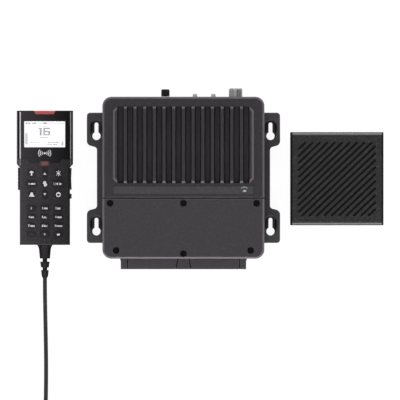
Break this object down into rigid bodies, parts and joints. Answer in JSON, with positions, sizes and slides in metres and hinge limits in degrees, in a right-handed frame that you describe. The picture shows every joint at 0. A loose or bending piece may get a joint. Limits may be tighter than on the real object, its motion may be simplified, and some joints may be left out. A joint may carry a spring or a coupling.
{
  "type": "vhf marine radio",
  "caption": "Marine VHF radio set: ribbed bulkhead transceiver box with keyhole ears, wired keypad handset with display, and square slotted external speaker.",
  "frame": {"origin": "centre of the transceiver's flat mounting face", "axes": "+X from the transceiver towards the speaker, +Y towards the antenna socket, +Z out of the front faces; all three units lie on their backs"},
  "size_m": [0.4411, 0.4545, 0.056],
  "materials": {
    "die_cast_paint": "satin charcoal powder coat on die-cast aluminium",
    "black_steel": "blackened steel",
    "seal_rubber": "matte black seal",
    "circuit_board": "green solder mask",
    "tinned_steel": "bright tinned sheet",
    "terminal_plastic": "green terminal housing",
    "gland_rubber": "matte dark grey rubber",
    "nickel_plate": "nickel plate",
    "white_insulator": "white insulator",
    "cap_rubber": "black rubber",
    "lamp_lens": "pale green lens",
    "handset_plastic": "fine satin charcoal moulding",
    "bezel_gloss": "piano black",
    "window_clear": "clear display pane",
    "lcd_face": "white backlit display",
    "key_rubber": "dark translucent silicone rubber",
    "key_red_rubber": "red silicone rubber",
    "button_rubber": "black rubber",
    "distress_red": "red moulding",
    "cord_rubber": "satin black cord jacket",
    "plug_plastic": "black moulded plug",
    "speaker_plastic": "satin charcoal moulding",
    "speaker_black": "matte black moulding",
    "magnet_steel": "dark magnet and zinc plates",
    "cone_paper": "treated black cone"
  },
  "bodies": {
    "transceiver": {"chassis": "die_cast_paint", "heatsink_cover": "die_cast_paint", "wiring_cover": "die_cast_paint", "cover_screws": "black_steel", "cover_gasket": "seal_rubber", "main_board": "circuit_board", "rf_shield": "tinned_steel", "terminal_block": "terminal_plastic", "gland_strips": "gland_rubber", "clamp_plates": "die_cast_paint", "antenna_socket": "nickel_plate", "antenna_insulator": "white_insulator", "aux_socket": "nickel_plate", "earth_screws": "nickel_plate", "status_lens": "lamp_lens"},
    "rubber_cap": {"port_cap": "cap_rubber"},
    "handset": {"front_shell": "handset_plastic", "rear_shell": "handset_plastic", "display_bezel": "bezel_gloss", "display_window": "window_clear", "lcd_module": "lcd_face", "handset_board": "circuit_board", "audio_capsules": "tinned_steel", "shell_screws": "black_steel", "strain_relief": "cord_rubber", "cord_run": "cord_rubber", "cord_coil": "cord_rubber", "cord_plug": "plug_plastic"},
    "speaker": {"speaker_grille": "speaker_plastic", "speaker_housing": "speaker_black", "driver_basket": "black_steel", "driver_magnet": "magnet_steel"},
    "cone": {"driver_cone": "cone_paper"},
    "talk": {"talk_bar": "button_rubber"},
    "rocker": {"volume_rocker": "button_rubber"},
    "power": {"power_button": "button_rubber"},
    "flap": {"distress_flap": "distress_red"},
    "distress": {"distress_button": "distress_red"},
    "key_red": {"key_red": "key_red_rubber"},
    "key_scan": {"key_scan": "key_rubber"},
    "key_up": {"key_up": "key_rubber"},
    "key_light": {"key_light": "key_rubber"},
    "key_menu": {"key_menu": "key_rubber"},
    "key_select": {"key_select": "key_rubber"},
    "key_exit": {"key_exit": "key_rubber"},
    "key_call": {"key_call": "key_rubber"},
    "key_down": {"key_down": "key_rubber"},
    "key_home": {"key_home": "key_rubber"},
    "key_1": {"key_1": "key_rubber"},
    "key_2": {"key_2": "key_rubber"},
    "key_3": {"key_3": "key_rubber"},
    "key_4": {"key_4": "key_rubber"},
    "key_5": {"key_5": "key_rubber"},
    "key_6": {"key_6": "key_rubber"},
    "key_7": {"key_7": "key_rubber"},
    "key_8": {"key_8": "key_rubber"},
    "key_9": {"key_9": "key_rubber"},
    "key_star": {"key_star": "key_rubber"},
    "key_0": {"key_0": "key_rubber"},
    "key_hash": {"key_hash": "key_rubber"}
  },
  "joints": [
    {"name": "handset_lift", "type": "slide", "parent": "transceiver", "child": "handset", "axis": [0, 0, 1], "range_m": [0, 0.12]},
    {"name": "speaker_lift", "type": "slide", "parent": "transceiver", "child": "speaker", "axis": [0, 0, 1], "range_m": [0, 0.12]},
    {"name": "rubber_cap_pull", "type": "slide", "parent": "transceiver", "child": "rubber_cap", "axis": [0, 1, 0], "range_m": [0, 0.012]},
    {"name": "cone_stroke", "type": "slide", "parent": "speaker", "child": "cone", "axis": [0, 0, 1], "range_m": [-0.001, 0.001], "stiffness_N_per_m": 1500},
    {"name": "talk_press", "type": "slide", "parent": "handset", "child": "talk", "axis": [1, 0, 0], "range_m": [0, 0.0015], "stiffness_N_per_m": 400},
    {"name": "volume_tilt", "type": "hinge", "parent": "handset", "child": "rocker", "pos_m": [-0.13935, -0.0012, 0.0181], "axis": [0, 0, 1], "range_deg": [-3, 3], "stiffness_Nm_per_rad": 0.05},
    {"name": "power_press", "type": "slide", "parent": "handset", "child": "power", "axis": [-1, 0, 0], "range_m": [0, 0.001], "stiffness_N_per_m": 400},
    {"name": "flap_hinge", "type": "hinge", "parent": "handset", "child": "flap", "pos_m": [-0.16675, 0.0792, 0.0153], "axis": [-1, 0, 0], "range_deg": [0, 90], "stiffness_Nm_per_rad": 0.002},
    {"name": "distress_press", "type": "slide", "parent": "handset", "child": "distress", "axis": [0, -1, 0], "range_m": [0, 0.0009], "stiffness_N_per_m": 400},
    {"name": "key_red_press", "type": "slide", "parent": "handset", "child": "key_red", "axis": [0, 0, -1], "range_m": [0, 0.0008], "stiffness_N_per_m": 400},
    {"name": "key_scan_press", "type": "slide", "parent": "handset", "child": "key_scan", "axis": [0, 0, -1], "range_m": [0, 0.0008], "stiffness_N_per_m": 400},
    {"name": "key_up_press", "type": "slide", "parent": "handset", "child": "key_up", "axis": [0, 0, -1], "range_m": [0, 0.0008], "stiffness_N_per_m": 400},
    {"name": "key_light_press", "type": "slide", "parent": "handset", "child": "key_light", "axis": [0, 0, -1], "range_m": [0, 0.0008], "stiffness_N_per_m": 400},
    {"name": "key_menu_press", "type": "slide", "parent": "handset", "child": "key_menu", "axis": [0, 0, -1], "range_m": [0, 0.0008], "stiffness_N_per_m": 400},
    {"name": "key_select_press", "type": "slide", "parent": "handset", "child": "key_select", "axis": [0, 0, -1], "range_m": [0, 0.0008], "stiffness_N_per_m": 400},
    {"name": "key_exit_press", "type": "slide", "parent": "handset", "child": "key_exit", "axis": [0, 0, -1], "range_m": [0, 0.0008], "stiffness_N_per_m": 400},
    {"name": "key_call_press", "type": "slide", "parent": "handset", "child": "key_call", "axis": [0, 0, -1], "range_m": [0, 0.0008], "stiffness_N_per_m": 400},
    {"name": "key_down_press", "type": "slide", "parent": "handset", "child": "key_down", "axis": [0, 0, -1], "range_m": [0, 0.0008], "stiffness_N_per_m": 400},
    {"name": "key_home_press", "type": "slide", "parent": "handset", "child": "key_home", "axis": [0, 0, -1], "range_m": [0, 0.0008], "stiffness_N_per_m": 400},
    {"name": "key_1_press", "type": "slide", "parent": "handset", "child": "key_1", "axis": [0, 0, -1], "range_m": [0, 0.0008], "stiffness_N_per_m": 400},
    {"name": "key_2_press", "type": "slide", "parent": "handset", "child": "key_2", "axis": [0, 0, -1], "range_m": [0, 0.0008], "stiffness_N_per_m": 400},
    {"name": "key_3_press", "type": "slide", "parent": "handset", "child": "key_3", "axis": [0, 0, -1], "range_m": [0, 0.0008], "stiffness_N_per_m": 400},
    {"name": "key_4_press", "type": "slide", "parent": "handset", "child": "key_4", "axis": [0, 0, -1], "range_m": [0, 0.0008], "stiffness_N_per_m": 400},
    {"name": "key_5_press", "type": "slide", "parent": "handset", "child": "key_5", "axis": [0, 0, -1], "range_m": [0, 0.0008], "stiffness_N_per_m": 400},
    {"name": "key_6_press", "type": "slide", "parent": "handset", "child": "key_6", "axis": [0, 0, -1], "range_m": [0, 0.0008], "stiffness_N_per_m": 400},
    {"name": "key_7_press", "type": "slide", "parent": "handset", "child": "key_7", "axis": [0, 0, -1], "range_m": [0, 0.0008], "stiffness_N_per_m": 400},
    {"name": "key_8_press", "type": "slide", "parent": "handset", "child": "key_8", "axis": [0, 0, -1], "range_m": [0, 0.0008], "stiffness_N_per_m": 400},
    {"name": "key_9_press", "type": "slide", "parent": "handset", "child": "key_9", "axis": [0, 0, -1], "range_m": [0, 0.0008], "stiffness_N_per_m": 400},
    {"name": "key_star_press", "type": "slide", "parent": "handset", "child": "key_star", "axis": [0, 0, -1], "range_m": [0, 0.0008], "stiffness_N_per_m": 400},
    {"name": "key_0_press", "type": "slide", "parent": "handset", "child": "key_0", "axis": [0, 0, -1], "range_m": [0, 0.0008], "stiffness_N_per_m": 400},
    {"name": "key_hash_press", "type": "slide", "parent": "handset", "child": "key_hash", "axis": [0, 0, -1], "range_m": [0, 0.0008], "stiffness_N_per_m": 400}
  ]
}
